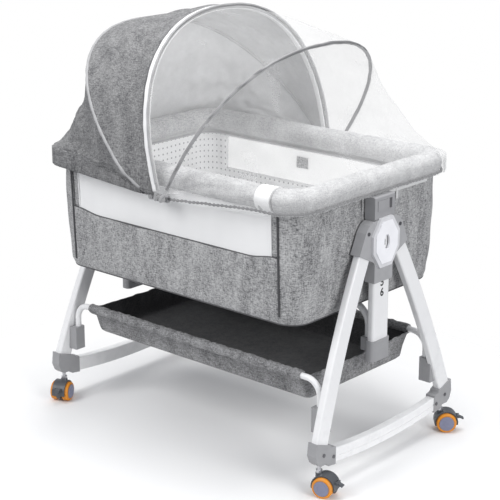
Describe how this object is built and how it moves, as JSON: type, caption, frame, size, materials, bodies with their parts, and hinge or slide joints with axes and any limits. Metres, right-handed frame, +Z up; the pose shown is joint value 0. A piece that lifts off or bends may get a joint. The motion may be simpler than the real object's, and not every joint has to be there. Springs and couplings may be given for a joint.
{
  "type": "bedside_sleeper_crib",
  "caption": "Bedside sleeper crib: fabric tub with a drop side, folding hood and net, on a height-adjustable rocking A-frame with casters and a storage basket",
  "frame": {"origin": "on the floor under the wheels, midway between the four casters", "axes": "+X runs to the foot end, -X to the hooded head end, -Y is the side that drops towards the bed, +Z is up"},
  "size_m": [0.9824, 0.7076, 1.0405],
  "materials": {
    "white_paint": "powder-coated white steel",
    "grey_plastic": "mid grey moulding",
    "pale_plastic": "lavender-white button plate",
    "steel": "zinc-plated steel",
    "dark_plastic": "dark grey caster hood",
    "orange_tyre": "orange tyre with a grey cap",
    "grey_melange": "woven mid grey melange",
    "dark_melange": "woven dark grey melange",
    "white_cotton": "white cotton with small grey dots",
    "white_net": "sheer white mesh",
    "board": "stiff floor board",
    "piping": "dark grey binding",
    "zip": "dark zipper tape"
  },
  "bodies": {
    "stand": {"leg_back_right": "white_paint", "leg_front_right": "white_paint", "leg_back_left": "white_paint", "leg_front_left": "white_paint", "rocker_right": "white_paint", "rocker_left": "white_paint", "corner_joints": "grey_plastic", "hub_right": "grey_plastic", "hub_left": "grey_plastic", "frame_screws": "steel", "basket_brackets": "grey_plastic", "basket_tube_back": "white_paint", "basket_tube_front": "white_paint", "storage_basket": "dark_melange", "caster_stems": "steel"},
    "hub_button_right": {"hub_button_right": "pale_plastic"},
    "hub_button_left": {"hub_button_left": "pale_plastic"},
    "cradle": {"column_right": "white_paint", "column_left": "white_paint", "column_end_caps": "grey_plastic", "rim_connector_right": "grey_plastic", "rim_connector_left": "grey_plastic", "floor_bar": "white_paint", "tub_shell": "grey_melange", "lining": "white_cotton", "floor_board": "board", "mattress": "white_cotton", "rim_tube": "steel", "rim_roll": "grey_melange", "back_window_net": "white_net", "side_zippers": "zip", "end_zipper": "zip", "cover_hem": "piping", "bow_clips": "grey_plastic"},
    "rim_latch_right": {"rim_latch_right": "grey_plastic"},
    "rim_latch_left": {"rim_latch_left": "grey_plastic"},
    "drop_side": {"rail_roll": "grey_melange", "rail_tube": "steel", "rail_band": "white_cotton", "drop_window_net": "white_net", "drop_window_border": "grey_melange"},
    "canopy_rear": {"canopy_rear_bow": "piping", "canopy_back_cloth": "grey_melange"},
    "canopy_front": {"canopy_front_bow": "piping", "canopy_top_cloth": "grey_melange"},
    "net_frame": {"net_bow": "piping", "net_middle": "white_net", "net_end": "white_net"},
    "caster_front_right": {"caster_hood_front_right": "dark_plastic"},
    "wheels_front_right": {"caster_wheels_front_right": "orange_tyre"},
    "brake_front_right": {"brake_lever_front_right": "dark_plastic"},
    "caster_back_right": {"caster_hood_back_right": "dark_plastic"},
    "wheels_back_right": {"caster_wheels_back_right": "orange_tyre"},
    "brake_back_right": {"brake_lever_back_right": "dark_plastic"},
    "caster_front_left": {"caster_hood_front_left": "dark_plastic"},
    "wheels_front_left": {"caster_wheels_front_left": "orange_tyre"},
    "brake_front_left": {"brake_lever_front_left": "dark_plastic"},
    "caster_back_left": {"caster_hood_back_left": "dark_plastic"},
    "wheels_back_left": {"caster_wheels_back_left": "orange_tyre"},
    "brake_back_left": {"brake_lever_back_left": "dark_plastic"}
  },
  "joints": [
    {"name": "height_slide", "type": "slide", "parent": "stand", "child": "cradle", "axis": [0, 0, 1], "range_m": [0, 0.125]},
    {"name": "hub_press_right", "type": "slide", "parent": "stand", "child": "hub_button_right", "axis": [-1, 0, 0], "range_m": [0, 0.0032], "stiffness_N_per_m": 900},
    {"name": "hub_press_left", "type": "slide", "parent": "stand", "child": "hub_button_left", "axis": [1, 0, 0], "range_m": [0, 0.0032], "stiffness_N_per_m": 900},
    {"name": "rim_latch_press_right", "type": "slide", "parent": "cradle", "child": "rim_latch_right", "axis": [-1, 0, 0], "range_m": [0, 0.0025], "stiffness_N_per_m": 600},
    {"name": "rim_latch_press_left", "type": "slide", "parent": "cradle", "child": "rim_latch_left", "axis": [1, 0, 0], "range_m": [0, 0.0025], "stiffness_N_per_m": 600},
    {"name": "side_drop", "type": "slide", "parent": "cradle", "child": "drop_side", "axis": [0, 0, -1], "range_m": [0, 0.098], "deforming": ["drop_window_net", "drop_window_border"]},
    {"name": "canopy_fold", "type": "hinge", "parent": "cradle", "child": "canopy_rear", "pos_m": [-0.02, 0, 0.636], "axis": [0, 1, 0], "range_deg": [-18, 0], "deforming": ["canopy_back_cloth"]},
    {"name": "canopy_fold_front", "type": "hinge", "parent": "canopy_rear", "child": "canopy_front", "pos_m": [0, 0, 0.636], "axis": [0, 1, 0], "range_deg": [-30, 0], "deforming": ["canopy_top_cloth"]},
    {"name": "net_fold", "type": "hinge", "parent": "canopy_front", "child": "net_frame", "pos_m": [0.02, 0, 0.636], "axis": [0, 1, 0], "range_deg": [-40, 0], "deforming": ["net_middle", "net_end"]},
    {"name": "swivel_front_right", "type": "hinge", "parent": "stand", "child": "caster_front_right", "pos_m": [0.431, -0.24, 0.054], "axis": [0, 0, 1], "continuous": true},
    {"name": "roll_front_right", "type": "hinge", "parent": "caster_front_right", "child": "wheels_front_right", "pos_m": [0.44645, -0.23586, 0.025], "axis": [-0.2588, 0.9659, 0], "continuous": true},
    {"name": "brake_front_right_press", "type": "hinge", "parent": "caster_front_right", "child": "brake_front_right", "pos_m": [0.47574, -0.22801, 0.03725], "axis": [-0.2588, 0.9659, 0], "range_deg": [0, 14]},
    {"name": "swivel_back_right", "type": "hinge", "parent": "stand", "child": "caster_back_right", "pos_m": [0.431, 0.24, 0.054], "axis": [0, 0, 1], "continuous": true},
    {"name": "roll_back_right", "type": "hinge", "parent": "caster_back_right", "child": "wheels_back_right", "pos_m": [0.44307, 0.2505, 0.025], "axis": [-0.6561, 0.7547, 0], "continuous": true},
    {"name": "brake_back_right_press", "type": "hinge", "parent": "caster_back_right", "child": "brake_back_right", "pos_m": [0.46596, 0.27039, 0.03725], "axis": [-0.6561, 0.7547, 0], "range_deg": [0, 14]},
    {"name": "swivel_front_left", "type": "hinge", "parent": "stand", "child": "caster_front_left", "pos_m": [-0.431, -0.24, 0.054], "axis": [0, 0, 1], "continuous": true},
    {"name": "roll_front_left", "type": "hinge", "parent": "caster_front_left", "child": "wheels_front_left", "pos_m": [-0.42424, -0.2545, 0.025], "axis": [0.9063, 0.4226, 0], "continuous": true},
    {"name": "brake_front_left_press", "type": "hinge", "parent": "caster_front_left", "child": "brake_front_left", "pos_m": [-0.41142, -0.28198, 0.03725], "axis": [0.9063, 0.4226, 0], "range_deg": [0, 14]},
    {"name": "swivel_back_left", "type": "hinge", "parent": "stand", "child": "caster_back_left", "pos_m": [-0.431, 0.24, 0.054], "axis": [0, 0, 1], "continuous": true},
    {"name": "roll_back_left", "type": "hinge", "parent": "caster_back_left", "child": "wheels_back_left", "pos_m": [-0.44645, 0.24414, 0.025], "axis": [-0.2588, -0.9659, 0], "continuous": true},
    {"name": "brake_back_left_press", "type": "hinge", "parent": "caster_back_left", "child": "brake_back_left", "pos_m": [-0.47574, 0.25199, 0.03725], "axis": [-0.2588, -0.9659, 0], "range_deg": [0, 14]}
  ],
  "couplings": [
    {"joint": "canopy_fold_front", "follows": "canopy_fold", "ratio": 1.6666}
  ]
}
